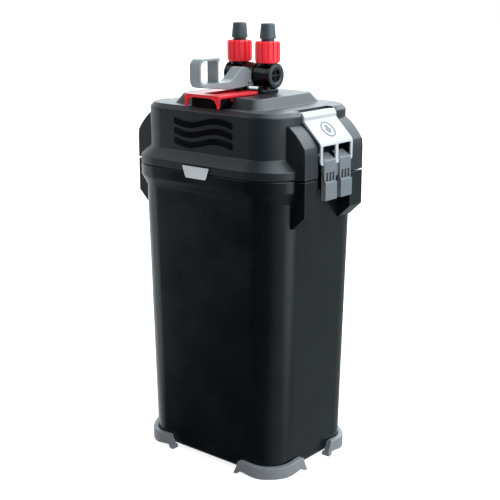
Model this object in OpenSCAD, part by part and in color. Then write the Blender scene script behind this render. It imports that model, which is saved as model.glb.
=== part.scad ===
// Tall canister filter: a tapered canister that holds three media baskets, a motor head that
// closes it with two side latches, and a lift-out valve unit with two hose connectors.
// Millimetres, +Z up, origin on the floor under the middle; the front is -Y.

/* [Canister] */
// Height of the parting line between canister and head
seam_z = 328; // [320:1:340]
// Half width of the canister just above its base
base_half_x = 94.8; // [90:0.2:96]
// Half depth of the canister just above its base
base_half_y = 71.8; // [68:0.2:73]
// Half width at the top of the plain wall
wall_half_x = 102.2; // [100:0.2:103]
// Half depth at the top of the plain wall
wall_half_y = 74.1; // [72:0.1:75]
// Half width of the collar and of the head's rim
collar_half_x = 107.5; // [106:0.5:109]
// Half depth of the collar and of the head's rim
collar_half_y = 82.7; // [80:0.1:84]
// Wall thickness of the mouldings
wall = 3; // [2.5:0.1:3.5]

/* [Head] */
// Half width of the head's upright wall
head_half_x = 96.5; // [95:0.5:97]
// Half depth of the head's upright wall
head_half_y = 72.4; // [71:0.1:73]
// Height of the head's flat top
head_top_z = 394.5; // [392:0.5:396]
// Height of the raised plateau that carries the valve unit
plateau_z = 405; // [403:0.5:407]

/* [Latches] */
// Half width of a latch plate
latch_half_y = 28; // [26:0.5:30]
// Outer face of the housings on each side of a latch
cheek_x = 117.5; // [115:0.5:119]
// How far each cheek reaches along the side
cheek_y = 51; // [48:0.5:53]
// Height of the latch hinge
hinge_z = 389.2; // [388:0.1:390]
// Distance of the latch hinge from the middle
hinge_x = 92.6; // [92:0.1:93]

/* [Valve unit] */
// Height of the valve barrels' axis, which the lever turns on
valve_z = 423.5; // [422:0.5:425]
// Distance of that axis behind the middle
valve_y = 10.6; // [9:0.1:12]
// Distance of each hose connector from the middle
port_x = 19.6; // [19:0.1:21]
// Radius of the flow bore through each hose connector
hose_bore_r = 5.5; // [5:0.1:5.8]
// Half width of the lever
lever_half_x = 7.3; // [6:0.1:7.4]

/* [Clearances] */
// Radial clearance of shafts and pistons that run in bores
running = 0.05; // [0.02:0.01:0.08]
// Gap between mouldings that move past each other
gap = 0.4; // [0.3:0.05:0.5]

/* [Hidden] */
$fn = 96;
motor_x = 57;                 // impeller axis, clear of the ports and of the right latch
motor_y = 4;
gland_x = 44;                 // cord gland, on the flat of the rear wall
gland_z = 364;
primer_y = -33.5;              // priming piston's axis, under the red handle
deck_top = 331.2;             // motor deck: the plate that closes the head from below
deck_bottom = 325.2;
screw_x = 76;                 // deck screws, one near each corner
screw_y = 52;
skirt_z = 316;                // lower edge of the deck's sealing skirt
lip_top_z = 318;              // top of the lip that keeps the seal on the skirt
pump_z = 309;                 // underside of the pump chamber
coil_z = 345;                 // stator core, inside the coil
coil_top_z = 362;
rotor_top = 372;
well_r = 12;                  // rotor well
rod_r = 4;                    // priming rod
piston_low_z = 340;
piston_top_z = 348;
cylinder_r = 15;
rim_z = seam_z - gap / 2;     // canister's top edge
lid_z = seam_z + gap / 2;     // head's bottom edge
barrel_r = 12;
drum_r = 10;
drum_port_r = 3.8;
flow_r = 4.8;
nut_z = 437;
nut_top_z = 459.5;
spigot_top_z = 452;
basket_x = -13.5;             // the basket stack stands left of the prefilter screen
basket_half_x = 74;
basket_half_y = 61;
basket_r = 26;
basket_h = 88;
basket_base_z = 7.5;          // on the canister's floor
screen_x = 73;                // upright prefilter screen between baskets and right wall
screen_half_y = 44;
foot_h = 16;
handle_z = 408.5;             // top of the priming handle
charcoal = [0.17, 0.19, 0.21];
black = [0.05, 0.05, 0.06];
grey = [0.42, 0.44, 0.46];
silver = [0.72, 0.73, 0.74];
red = [0.75, 0.1, 0.12];

// ---------------------------------------------------------------- shared shapes

// Points of a rounded rectangle, counter-clockwise, with n steps round each corner.
function rounded_points(hx, hy, r, n) = [
    for (corner = [0:3], step = [0:n])
        let (a = 90 * (corner + step / n),
             sx = corner == 0 || corner == 3 ? 1 : -1,
             sy = corner < 2 ? 1 : -1)
        [sx * (hx - r) + r * cos(a), sy * (hy - r) + r * sin(a)]];

// Solid through rounded rectangles stacked upwards; each section is [z, half x, half y, radius].
module loft(sections, n = 9) {
    m = 4 * (n + 1);
    last = len(sections) - 1;
    points = [for (s = sections, p = rounded_points(s[1], s[2], s[3], n)) [p[0], p[1], s[0]]];
    sides = [for (i = [0:last - 1], j = [0:m - 1])
        let (k = (j + 1) % m) [i * m + j, (i + 1) * m + j, (i + 1) * m + k, i * m + k]];
    polyhedron(points, concat(
        [[for (j = [0:m - 1]) j]],
        sides,
        [[for (j = [m - 1:-1:0]) last * m + j]]));
}

// Exact upright prism with round corners.
module slab(hx, hy, r, z0, z1) {
    translate([0, 0, z0]) linear_extrude(z1 - z0) {
        square([2 * hx, 2 * (hy - r)], center = true);
        square([2 * (hx - r), 2 * hy], center = true);
        for (sx = [-1, 1], sy = [-1, 1]) translate([sx * (hx - r), sy * (hy - r)]) circle(r);
    }
}

// Upright cylinder or tube between two heights.
module post(x, y, r, z0, z1) translate([x, y, z0]) cylinder(h = z1 - z0, r = r);

// Box from its lowest to its highest corner.
module block(low, high) translate(low) cube(high - low);

// Outline in X and Z, extruded along Y between two values.
module side_prism(points, y0, y1)
    translate([0, y1, 0]) rotate([90, 0, 0]) linear_extrude(y1 - y0) polygon(points);

module both_sides() {
    children();
    mirror([1, 0, 0]) children();
}

// Cylinder along X between two values.
module bar_x(r, x0, x1, y, z) translate([x0, y, z]) rotate([0, 90, 0]) cylinder(h = x1 - x0, r = r);

// Cylinder along Y between two values.
module bar_y(r, y0, y1, x, z) translate([x, y1, z]) rotate([90, 0, 0]) cylinder(h = y1 - y0, r = r);

// Points on an arc, both ends included.
function arc(cx, cy, r, a0, a1, n = 8) =
    [for (i = [0:n]) let (a = a0 + (a1 - a0) * i / n) [cx + r * cos(a), cy + r * sin(a)]];

// ---------------------------------------------------------------- canister and feet

bottom_z = 4;
ridge_z = 304;
collar_z = 315.3;

module canister_outer() loft([
    [bottom_z, base_half_x - 3, base_half_y - 3, 32],
    [bottom_z + 3, base_half_x, base_half_y, 35],
    [ridge_z, wall_half_x, wall_half_y, 36],
    [ridge_z + 0.8, wall_half_x + 1.2, wall_half_y + 1.2, 37],
    [ridge_z + 2.4, wall_half_x + 1.4, wall_half_y + 1.4, 37],
    [collar_z, collar_half_x, collar_half_y, 45.6],
    [rim_z, collar_half_x, collar_half_y, 45.6]]);

module canister_inner() loft([
    [bottom_z + 3.5, base_half_x - wall - 3, base_half_y - wall - 3, 29],
    [bottom_z + 6.5, base_half_x - wall, base_half_y - wall, 32],
    [ridge_z - 1, wall_half_x - wall, wall_half_y - wall, 33],
    [collar_z + 1.5, collar_half_x - wall, collar_half_y - wall, 42.6],
    [rim_z + 1, collar_half_x - wall, collar_half_y - wall, 42.6]]);

// The two half housings beside one latch, from the seam downwards.
module lower_cheeks() {
    for (s = [-1, 1]) {
        inner = s * (latch_half_y + gap);
        outer = s * cheek_y;
        side_prism([[96, 277], [102.5, 277], [cheek_x, 291], [cheek_x, rim_z], [96, rim_z]],
            min(inner, outer), max(inner, outer));
    }
}

module canister() color(charcoal) difference() {
    union() {
        canister_outer();
        both_sides() lower_cheeks();
    }
    canister_inner();
}

// Rubber bumper round the front right corner; its ends slope and it carries the canister.
module foot() {
    outer_x = 101.9;
    outer_y = 77.6;
    difference() {
        slab(outer_x, outer_y, 42, 0, foot_h);
        slab(base_half_x + 0.6, base_half_y + 0.4, 35, bottom_z, foot_h + 1);
        slab(base_half_x - 20, base_half_y - 20, 22, -1, bottom_z + 1);
        block([-outer_x - 1, -outer_y - 1, -1], [45.6, outer_y + 1, foot_h + 1]);
        block([-outer_x - 1, -19.9, -1], [outer_x + 1, outer_y + 1, foot_h + 1]);
        translate([45.6, 0, 0]) rotate([0, 19, 0]) block([-20, -outer_y - 1, -1], [0, 0, 30]);
        translate([0, -19.9, 0]) rotate([19, 0, 0]) block([60, 0, -1], [outer_x + 1, 20, 30]);
    }
}

module foot_front_right() color(grey) foot();
module foot_front_left() color(grey) mirror([1, 0, 0]) foot();
module foot_rear_right() color(grey) mirror([0, 1, 0]) foot();
module foot_rear_left() color(grey) rotate([0, 0, 180]) foot();

// ---------------------------------------------------------------- media stack

// Open tray with a slotted floor, placed by its level in the stack.
module basket(level) {
    z = basket_base_z + level * basket_h;
    translate([basket_x, 0, 0]) difference() {
        slab(basket_half_x, basket_half_y, basket_r, z, z + basket_h);
        slab(basket_half_x - 2, basket_half_y - 2, basket_r - 2, z + 2.5, z + basket_h + 1);
        for (i = [-5:5], s = [-1, 1])
            block([i * 10.5 - 2, s * 28 - 22, z - 1], [i * 10.5 + 2, s * 28 + 22, z + 3]);
        for (s = [-1, 1])
            block([-12, s * (basket_half_y - 1) - 2, z + basket_h - 8],
                [12, s * (basket_half_y - 1) + 2, z + basket_h + 1]);
    }
}

module basket_lower() color(black) basket(0);
module basket_middle() color(black) basket(1);
module basket_upper() color(black) basket(2);

module basket_cover() color(black) {
    z = basket_base_z + 2 * basket_h + basket_h;
    translate([basket_x, 0, 0]) difference() {
        slab(basket_half_x, basket_half_y, basket_r, z, z + 2.5);
        for (i = [-5:5], s = [-1, 1])
            block([i * 10.5 - 2, s * 32 - 20, z - 1], [i * 10.5 + 2, s * 32 + 20, z + 3]);
    }
}

// Folding bail that lifts the stack out, lying on the cover.
module basket_lift_handle() color(red) {
    z = basket_base_z + 2 * basket_h + basket_h + 2.5;
    translate([basket_x, 0, 0]) difference() {
        slab(46, 9, 8.9, z, z + 7);
        slab(38, 4, 3.9, z - 1, z + 8);
    }
}

module media_block(level, low, high) {
    z = basket_base_z + level * basket_h + 2.5;
    translate([basket_x, 0, 0])
        slab(basket_half_x - 2.5, basket_half_y - 2.5, basket_r - 2.5, z + low, z + high);
}

module foam_block() color([0.2, 0.3, 0.45]) media_block(0, 0, 84);

module ceramic_rings() color([0.85, 0.83, 0.78]) {
    z = basket_base_z + basket_h + 2.5;
    for (i = [0:5], j = [-2:2], k = [0:2])
        translate([basket_x + (i - 2.5) * 21, j * 21, z + k * 26]) difference() {
            cylinder(h = 25, r = 9, $fn = 32);
            translate([0, 0, -1]) cylinder(h = 27, r = 4, $fn = 32);
        }
}

module carbon_pouches() color([0.12, 0.12, 0.12]) for (i = [0:2]) media_block(2, i * 28, i * 28 + 27);

// Upright frame that presses two foam screens against the incoming water.
module screen_frame() color(black) difference() {
    block([screen_x - 10, -screen_half_y, basket_base_z], [screen_x + 12, screen_half_y, 276]);
    for (s = [-1, 1]) {
        x = screen_x + 1 + s * 6.5;
        block([x - 4.6, -screen_half_y + 4, 17], [x + 4.6, screen_half_y - 4, 271]);
    }
    for (k = [0:5]) {
        z = 22 + k * 42;
        block([screen_x - 11, -screen_half_y + 10, z], [screen_x + 13, screen_half_y - 10, z + 34]);
    }
}

module screen_foams() color([0.15, 0.2, 0.28]) for (s = [-1, 1]) {
    x = screen_x + 1 + s * 6.5;
    block([x - 4.4, -screen_half_y + 4.3, 17.3], [x + 4.4, screen_half_y - 4.3, 270.7]);
}

// ---------------------------------------------------------------- motor head

module head_outer() {
    loft([
        [lid_z, collar_half_x, collar_half_y, 45.6],
        [337, collar_half_x, collar_half_y, 45.6],
        [347.5, head_half_x, head_half_y, 36],
        [head_top_z - 4.5, head_half_x, head_half_y, 36],
        [head_top_z, head_half_x - 4.6, head_half_y - 4.6, 31.5]]);
    loft([
        [head_top_z - 3, 60.7, 57.9, 15],
        [plateau_z - 0.8, 54.4, 50, 12],
        [plateau_z, 53.6, 49.2, 11.4]]);
}

module head_inner() {
    loft([
        [lid_z - 1, collar_half_x - wall, collar_half_y - wall, 42.6],
        [336, collar_half_x - wall, collar_half_y - wall, 42.6],
        [346.3, head_half_x - wall, head_half_y - wall, 33],
        [head_top_z - 6, head_half_x - wall, head_half_y - wall, 33],
        [head_top_z - wall, head_half_x - wall - 3, head_half_y - wall - 3, 30]]);
    loft([
        [head_top_z - 5, 56, 53, 12],
        [plateau_z - wall, 51.5, 47, 10]]);
}

module upper_cheeks() {
    for (s = [-1, 1]) {
        inner = s * (latch_half_y + gap);
        outer = s * cheek_y;
        side_prism(concat(
            [[90, lid_z], [cheek_x, lid_z]],
            arc(53.1, 320.3, 75.1, 32, 55, 6),
            [[90, 381.8]]),
            min(inner, outer), max(inner, outer));
    }
}

slot_half_x = 24.9;           // well in the plateau that the priming handle sinks into
slot_rear_y = -9;
slot_floor_z = 397;

module head_cover() color(charcoal) difference() {
    union() {
        difference() {
            union() {
                head_outer();
                both_sides() upper_cheeks();
            }
            head_inner();
        }
        both_sides() block([82, -33, 376], [94, 33, head_top_z - 2]);
        block([-slot_half_x - 2.1, -51, slot_floor_z - 3],
            [slot_half_x + 2.1, slot_rear_y + 2.1, plateau_z - 1]);
        at_screws() cylinder(h = head_top_z - 2 - deck_top, r = 5);
    }
    both_sides() {
        bar_y(5.35, -latch_half_y - gap, latch_half_y + gap, hinge_x, hinge_z);
        block([hinge_x - 6.4, -latch_half_y - gap, hinge_z], [110, latch_half_y + gap, 410]);
        block([hinge_x, -latch_half_y - gap, 379.5], [110, latch_half_y + gap, 400]);
        bar_y(1.6, -32, 32, hinge_x, hinge_z);
    }
    block([-slot_half_x, -60, slot_floor_z], [slot_half_x, slot_rear_y, plateau_z + 5]);
    block([-slot_half_x, -70, head_top_z], [slot_half_x, -50, plateau_z + 5]);
    post(0, primer_y, rod_r + running, slot_floor_z - 4, slot_floor_z + 1);
    for (s = [-1, 1]) post(s * port_x, valve_y, 8.6, plateau_z - 5, plateau_z + 1);
    at_screws() translate([0, 0, -1]) cylinder(h = 21, r = 1.8);
    bar_y(8.1, 60, 80, gland_x, gland_z);
}

// Children once at each deck screw, with Z measured from the deck's top.
module at_screws() for (sx = [-1, 1], sy = [-1, 1])
    translate([sx * screw_x, sy * screw_y, deck_top]) children();

// Sealed plate under the head: ring skirt, rotor well, port sockets, pump chamber and duct.
module motor_deck() color(black) difference() {
    union() {
        slab(collar_half_x - wall - 0.4, collar_half_y - wall - 0.4, 42.2, deck_bottom, deck_top);
        difference() {
            slab(100.4, 75.6, 38.5, skirt_z, deck_bottom);
            slab(97.4, 72.6, 35.5, skirt_z - 1, deck_bottom + 1);
        }
        skirt_lip();
        post(motor_x, motor_y, well_r + 2, deck_bottom, rotor_top + 6);
        for (s = [-1, 1]) post(s * port_x, valve_y, 11, deck_bottom, plateau_z - wall);
        post(motor_x, motor_y, 27, pump_z, deck_bottom);
        block([10, valve_y - 9, 309.5], [motor_x - 15, valve_y + 9, deck_bottom]);
    }
    post(motor_x, motor_y, well_r, deck_bottom - 1, rotor_top + 1);
    post(motor_x, motor_y, 3, rotor_top, rotor_top + 4);
    post(motor_x, motor_y, 24, 308, deck_bottom);
    block([12.5, valve_y - 6.5, 312.5], [motor_x - 10, valve_y + 6.5, deck_bottom]);
    for (s = [-1, 1]) {
        post(s * port_x, valve_y, 8.3, 384, plateau_z);
        post(s * port_x, valve_y, 6.5, deck_bottom - 1, plateau_z);
    }
    post(0, primer_y, 5, deck_bottom - 1, deck_top + 1);
    at_screws() translate([0, 0, -10]) cylinder(h = 11, r = 1.8);
}

// Outward lip that keeps the seal on the skirt.
module skirt_lip() difference() {
    slab(103.4, 78.6, 41.5, skirt_z, lip_top_z);
    slab(99, 74.2, 37, skirt_z - 1, lip_top_z + 1);
}

module head_seal() color(black) difference() {
    slab(collar_half_x - wall - 0.2, collar_half_y - wall - 0.2, 42.4, lip_top_z, deck_bottom);
    slab(100.5, 75.7, 38.6, lip_top_z - 1, deck_bottom + 1);
}

module deck_screws() color(silver) at_screws() translate([0, 0, deck_bottom - deck_top]) difference() {
    union() {
        post(0, 0, 1.8, -1, 22);
        post(0, 0, 4, -2.6, 0);
    }
    for (a = [0, 90]) rotate([0, 0, a]) block([-2.2, -0.4, -2.7], [2.2, 0.4, -1.3]);
}

module motor_case() color(grey) difference() {
    translate([motor_x, 0, 0]) slab(23, 38, 5, deck_top, 386);
    translate([motor_x, 0, 0]) slab(20.8, 35.8, 3, deck_top - 1, 383.8);
}

module stator_core() color([0.5, 0.51, 0.53]) difference() {
    union() {
        block([motor_x - 18.5, motor_y - 17, coil_z], [motor_x + 18.5, motor_y + 17, coil_top_z]);
        block([motor_x - 9, -34, coil_z], [motor_x + 9, motor_y - 17, coil_top_z]);
    }
    post(motor_x, motor_y, well_r + 2.1, 340, 370);
}

module motor_coil() color([0.7, 0.35, 0.15]) difference() {
    block([motor_x - 16, -33, coil_z - 7], [motor_x + 16, -15, coil_top_z + 7]);
    block([motor_x - 9, -40, coil_z], [motor_x + 9, 0, coil_top_z]);
}

module impeller_cover() color(black) difference() {
    union() {
        post(motor_x, motor_y, 27, pump_z - 3.5, pump_z);
        post(motor_x, motor_y, 23.8, pump_z, pump_z + 1.5);
    }
    difference() {
        post(motor_x, motor_y, 10, 300, 312);
        post(motor_x, motor_y, 4.5, 300, 312);
        for (a = [0, 120, 240]) translate([motor_x, motor_y, 300]) rotate([0, 0, a])
            block([0, -1.2, 0], [11, 1.2, 12]);
    }
    post(motor_x, motor_y, 3, 307.5, 311);
}

module impeller_shaft() color([0.9, 0.89, 0.86])
    post(motor_x, motor_y, 1.5, 308.2, rotor_top + 3.4);
module shaft_bush_lower() color(black) difference() {
    post(motor_x, motor_y, 3, 307.5, 310.5);
    post(motor_x, motor_y, 1.5, 308.2, 311);
}
module shaft_bush_upper() color(black) difference() {
    post(motor_x, motor_y, 3, rotor_top + 1, rotor_top + 4);
    post(motor_x, motor_y, 1.5, rotor_top, rotor_top + 3.4);
}

module magnet_rotor() color(grey) difference() {
    post(motor_x, motor_y, 10.9, 330, rotor_top - 1);
    post(motor_x, motor_y, 1.5 + running, 329, rotor_top);
    translate([motor_x, motor_y, 329]) block([-2, -6, 0], [2, 6, 5]);
}

module impeller() color(red) difference() {
    union() {
        post(motor_x, motor_y, 4.5, 311.5, 330);
        post(motor_x, motor_y, 10.5, 326, 330);
        post(motor_x, motor_y, 20.5, 322, 323.6);
        translate([motor_x, motor_y, 312]) for (i = [0:5]) rotate([0, 0, 60 * i])
            block([3, -0.8, 0], [20.5, 0.8, 10]);
        translate([motor_x, motor_y, 329]) block([-1.9, -5.9, 0], [1.9, 5.9, 4.8]);
    }
    post(motor_x, motor_y, 1.5 + running, 300, 340);
}

module cord_gland() color(black) difference() {
    union() {
        bar_y(11, head_half_y, head_half_y + 2.5, gland_x, gland_z);
        bar_y(8, 58, head_half_y + 2.5, gland_x, gland_z);
        bar_y(7, head_half_y + 2.5, 85.2, gland_x, gland_z);
    }
    bar_y(3.6, 50, 90, gland_x, gland_z);
}

module gland_nut() color(grey) difference() {
    translate([gland_x, head_half_y - wall, gland_z]) rotate([90, 0, 0]) cylinder(h = 6, r = 13, $fn = 6);
    bar_y(8, 50, 80, gland_x, gland_z);
}

// Blank name plate over the seam, held by the head only.
module badge_plate() color(silver) {
    y = -collar_half_y;
    translate([0, y - 0.3, 0]) rotate([90, 0, 0]) linear_extrude(2.2)
        polygon([[-18.3, 334.8], [-13.5, 322.4], [13.5, 322.4], [18.3, 334.8]]);
    block([-13, y - 0.4, seam_z + 1], [13, y, 334]);
}

// Three raised wave bars, a plain decoration for the front of the head.
wave_half_x = 40;
wave_half_h = 3.2;
wave_pitch = 10.5;
wave_middle_z = 368.5;
function wave_point(i, side) = let (x = wave_half_x * (i / 10 - 1))
    [x, 3.4 * sin(x * 4.5) + side * wave_half_h];
module wave_trim() color(black) for (k = [-1, 0, 1])
    translate([0, -head_half_y, wave_middle_z + wave_pitch * k]) rotate([90, 0, 0]) linear_extrude(1.2)
        polygon(concat([for (i = [0:20]) wave_point(i, -1)], [for (i = [20:-1:0]) wave_point(i, 1)]));

// ---------------------------------------------------------------- latches

module latch_pin() bar_y(1.6, -31.8, 31.8, hinge_x, hinge_z);
module latch_pin_right() color(silver) latch_pin();
module latch_pin_left() color(silver) mirror([1, 0, 0]) latch_pin();

latch_x = 120;                // outer face of the latch plate
plate_t = 3;
plate_bottom_z = 341.5;
window_y = [3.2, 23.6];
bend_x = 112;                 // middle of the bend between slope and upright part
bend_z = 360;
// Seen from the side: knuckle, step, slope, bend and upright plate with two windows.
module latch_plate() difference() {
    union() {
        bar_y(5, -latch_half_y, latch_half_y, hinge_x, hinge_z);
        side_prism(concat(
            [[hinge_x, hinge_z], [97.5, hinge_z], [98.3, 384.6]],
            arc(bend_x, bend_z, latch_x - bend_x, 45, 0, 4),
            [[latch_x, plate_bottom_z], [latch_x - plate_t, plate_bottom_z]],
            arc(bend_x, bend_z, latch_x - bend_x - plate_t, 0, 45, 4),
            [[96.4, 382.3], [94.8, 384.8]]),
            -latch_half_y, latch_half_y);
    }
    for (s = [-1, 1]) {
        y0 = min(s * window_y[0], s * window_y[1]);
        block([110, y0, 346], [130, y0 + window_y[1] - window_y[0], 360]);
    }
    bar_y(1.6 + running, -40, 40, hinge_x, hinge_z);
}

// Pair of finger tabs with a ramp into each window and the catch tooth behind.
module latch_tabs() {
    for (s = [-1, 1]) {
        y0 = min(s * 3.5, s * 23.3);
        y1 = y0 + 19.8;
        difference() {
            side_prism([
                [latch_x - plate_t, 305.3], [123.4, 305.3], [123.4, 323.5], [122, 323.5],
                [121.4, 345.7], [120.4, 346.5], [110.5, 352.5], [110.5, 350], [latch_x - plate_t, 345]],
                y0, y1);
            side_prism([
                [latch_x - plate_t - 1, 341.2], [latch_x + 0.1, 341.2], [latch_x + 0.1, 346],
                [latch_x - plate_t - 1, 346]], y0 - 1, y1 + 1);
            for (k = [-1:1]) {
                y = (y0 + y1) / 2 + k * 5.6;
                block([119.5, y - 1.7, 324.4], [124, y + 1.7, 333.6]);
            }
        }
    }
    side_prism([
        [latch_x - plate_t, 306], [latch_x - plate_t, 322], [114, 319], [108, 309], [108, 307]],
        -20, 20);
    block([latch_x - plate_t, -23.3, 328], [latch_x - 0.4, 23.3, plate_bottom_z]);
}

module latch_right() color(silver) latch_plate();
module latch_left() color(silver) mirror([1, 0, 0]) latch_plate();
module latch_tabs_right() color(grey) latch_tabs();
module latch_tabs_left() color(grey) mirror([1, 0, 0]) latch_tabs();

// ---------------------------------------------------------------- priming pump

plate_low_z = 405.3;          // underside of the handle's plate
rod_head_z = 400;             // underside of the handle's core, where the rod enters
module primer_handle() color(red) difference() {
    union() {
        block([-24.4, -74, plate_low_z], [24.4, -10, handle_z]);
        block([-20, -49, rod_head_z], [20, -12, plate_low_z]);
        both_sides() side_prism([
            [17.5, plate_low_z], [17.5, plate_low_z + 0.7], [24.4, plate_low_z + 0.7],
            [24.4, plate_low_z], [22.6, 395.2], [21.2, 395.2]], -74, -58);
    }
    block([-8.6, -62, 405], [8.6, -9, 412]);
    post(0, primer_y, 2.5, rod_head_z - 1, rod_head_z + 3);
}

module primer_rod() color(silver) {
    post(0, primer_y, rod_r, piston_top_z, rod_head_z);
    post(0, primer_y, 2.5, rod_head_z, rod_head_z + 3);
    post(0, primer_y, 3, piston_low_z, piston_top_z);
}

module primer_piston() color(black) difference() {
    post(0, primer_y, 14.6, piston_low_z, piston_top_z);
    difference() {
        post(0, primer_y, 16, piston_low_z + 2.5, piston_top_z - 2.5);
        post(0, primer_y, 12.5, piston_low_z + 2, piston_top_z - 2);
    }
    post(0, primer_y, 3, piston_low_z - 1, piston_top_z + 1);
}

module piston_seal() color(black) difference() {
    post(0, primer_y, cylinder_r - running, piston_low_z + 2.5, piston_top_z - 2.5);
    post(0, primer_y, 12.5, piston_low_z + 2, piston_top_z - 2);
}

module primer_cylinder() color(grey) difference() {
    post(0, primer_y, cylinder_r + 2, deck_top, slot_floor_z - 3);
    post(0, primer_y, cylinder_r, deck_top + 3, slot_floor_z - 2);
    post(0, primer_y, 5, deck_top - 1, deck_top + 4);
}

// ---------------------------------------------------------------- valve unit

base_top_z = 409;
base_bottom_z = plateau_z + 0.2;

module valve_body() color(black) difference() {
    union() {
        translate([0, valve_y, 0]) slab(26, 16.2, 8, base_bottom_z, base_top_z);
        for (s = [-1, 1]) {
            post(s * port_x, valve_y, 10, base_bottom_z, nut_z - 0.3);
            post(s * port_x, valve_y, 8.7, nut_z - 0.3, spigot_top_z);
            post(s * port_x, valve_y, 8.1, 386, base_bottom_z);
        }
        both_sides() {
            bar_x(barrel_r, 8, 29, valve_y, valve_z);
            bar_x(13.3, 28.2, 31.5, valve_y, valve_z);
        }
    }
    both_sides() {
        bar_x(drum_r + running, 9.6, 32, valve_y, valve_z);
        bar_x(5 + running, 7, 10, valve_y, valve_z);
        bar_x(11.8, 29, 32, valve_y, valve_z);
    }
    for (s = [-1, 1]) {
        post(s * port_x, valve_y, flow_r, 385, spigot_top_z + 1);
        for (z = [390, 396]) difference() {
            post(s * port_x, valve_y, 9, z, z + 2.4);
            post(s * port_x, valve_y, 6.9, z - 1, z + 4);
        }
    }
}

module port_seals() color([0.1, 0.1, 0.1]) for (s = [-1, 1], z = [390, 396]) difference() {
    post(s * port_x, valve_y, 8.2, z + 0.1, z + 2.3);
    post(s * port_x, valve_y, 6.9, z, z + 3);
}

// Drum valve: bored across, keyed to the lever inside and slotted at its outer end.
module drum() difference() {
    union() {
        bar_x(drum_r, 9.8, 28.8, valve_y, valve_z);
        bar_x(7.2, 28.8, 30.6, valve_y, valve_z);
        bar_x(5, 7.4, 9.8, valve_y, valve_z);
        block([2, valve_y - 3, valve_z - 3], [7.5, valve_y + 3, valve_z + 3]);
    }
    post(port_x, valve_y, drum_port_r, valve_z - 11, valve_z + 11);
    translate([29.4, valve_y, valve_z]) for (a = [0, 90])
        rotate([a, 0, 0]) block([0, -5.5, -0.9], [2, 5.5, 0.9]);
}

module drum_inlet() color(black) mirror([1, 0, 0]) drum();
module drum_outlet() color(black) drum();

module end_cap() difference() {
    bar_x(11.8, 29, 31.9, valve_y, valve_z);
    bar_x(7.4, 28, 33, valve_y, valve_z);
}
module end_cap_inlet() color(grey) mirror([1, 0, 0]) end_cap();
module end_cap_outlet() color(grey) end_cap();

// Lever seen from the side in Y and Z: arm and open finger loop; the hub is a cylinder.
loop_front_y = -83.3;
loop_rear_y = -53.9;
loop_top_z = 445.2;
loop_bottom_z = 415.4;
strap = 2.4;
corner_r = 8;
hub_r = 13;
module lever_outline() difference() {
    union() {
        polygon([
            [6.6, 413], [-23, 411.6], [-37.7, 411.1], [loop_rear_y - 4, 413.5],
            [loop_rear_y - 4, 419.6], [-38.5, 419], [-33, 421], [-26.4, 426], [-18.2, 432.4],
            [-14, 433.4], [-7, 431.8], [-3.5, 429.2], [6.6, 424]]);
        polygon(concat(
            [[loop_rear_y, 413], [loop_rear_y, loop_top_z]],
            arc(loop_front_y + corner_r, loop_top_z - corner_r, corner_r, 90, 180),
            arc(loop_front_y + corner_r, loop_bottom_z + corner_r, corner_r, 180, 262)));
        translate([loop_rear_y - 1, loop_top_z - 3.8]) square([3, 3.8]);
    }
    polygon(concat(
        [[loop_rear_y - 2.3, 419.6], [loop_rear_y - 2.3, loop_top_z - strap]],
        arc(loop_front_y + corner_r, loop_top_z - corner_r, corner_r - strap, 90, 180),
        arc(loop_front_y + corner_r, 425.2, corner_r - strap, 180, 270)));
}

module lever() color(silver) difference() {
    union() {
        rotate([90, 0, 90]) translate([0, 0, -lever_half_x])
            linear_extrude(2 * lever_half_x) lever_outline();
        bar_x(hub_r, -lever_half_x, lever_half_x, valve_y, valve_z);
    }
    block([-8, valve_y - 3.05, valve_z - 3.05], [8, valve_y + 3.05, valve_z + 3.05]);
}

// Fluted ring that clamps a hose on its connector.
module lock_nut(side) {
    flutes = 14;
    difference() {
        union() {
            post(side * port_x, valve_y, 13.5, nut_z + 1.5, nut_top_z - 0.8);
            post(side * port_x, valve_y, 12.7, nut_z, nut_top_z);
        }
        translate([side * port_x, valve_y, nut_z]) for (i = [0:flutes - 1])
            rotate([0, 0, i * 360 / flutes]) block([12.4, -0.7, 1.5], [15, 0.7, 30]);
        post(side * port_x, valve_y, 8.7 + running, nut_z - 1, 455.3);
        post(side * port_x, valve_y, 7.4, 450, nut_top_z + 1);
    }
}
module lock_nut_inlet() color(red) lock_nut(-1);
module lock_nut_outlet() color(red) lock_nut(1);

// Stub that the hose pushes onto, held down by the lock nut.
module hose_connector(side) difference() {
    union() {
        post(side * port_x, valve_y, 8.4, spigot_top_z, 455);
        post(side * port_x, valve_y, 7, 455, 464);
        translate([side * port_x, valve_y, 463.5]) cylinder(h = 14.5, r1 = 8.7, r2 = 7.35);
    }
    post(side * port_x, valve_y, hose_bore_r, spigot_top_z - 1, 480);
}
module hose_connector_inlet() color(grey) hose_connector(-1);
module hose_connector_outlet() color(grey) hose_connector(1);

// ---------------------------------------------------------------- nodes

canister();
foot_front_left();
foot_front_right();
foot_rear_left();
foot_rear_right();
basket_lower();
basket_middle();
basket_upper();
basket_cover();
basket_lift_handle();
foam_block();
ceramic_rings();
carbon_pouches();
screen_frame();
screen_foams();
head_cover();
motor_deck();
head_seal();
deck_screws();
motor_case();
stator_core();
motor_coil();
impeller_cover();
impeller_shaft();
shaft_bush_upper();
shaft_bush_lower();
magnet_rotor();
impeller();
cord_gland();
gland_nut();
badge_plate();
wave_trim();
latch_pin_right();
latch_pin_left();
latch_right();
latch_left();
latch_tabs_right();
latch_tabs_left();
primer_handle();
primer_rod();
primer_piston();
piston_seal();
primer_cylinder();
valve_body();
port_seals();
drum_inlet();
drum_outlet();
end_cap_inlet();
end_cap_outlet();
lever();
lock_nut_inlet();
lock_nut_outlet();
hose_connector_inlet();
hose_connector_outlet();
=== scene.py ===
import math

import bmesh
import bpy
import numpy as np
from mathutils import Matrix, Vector, noise


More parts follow.
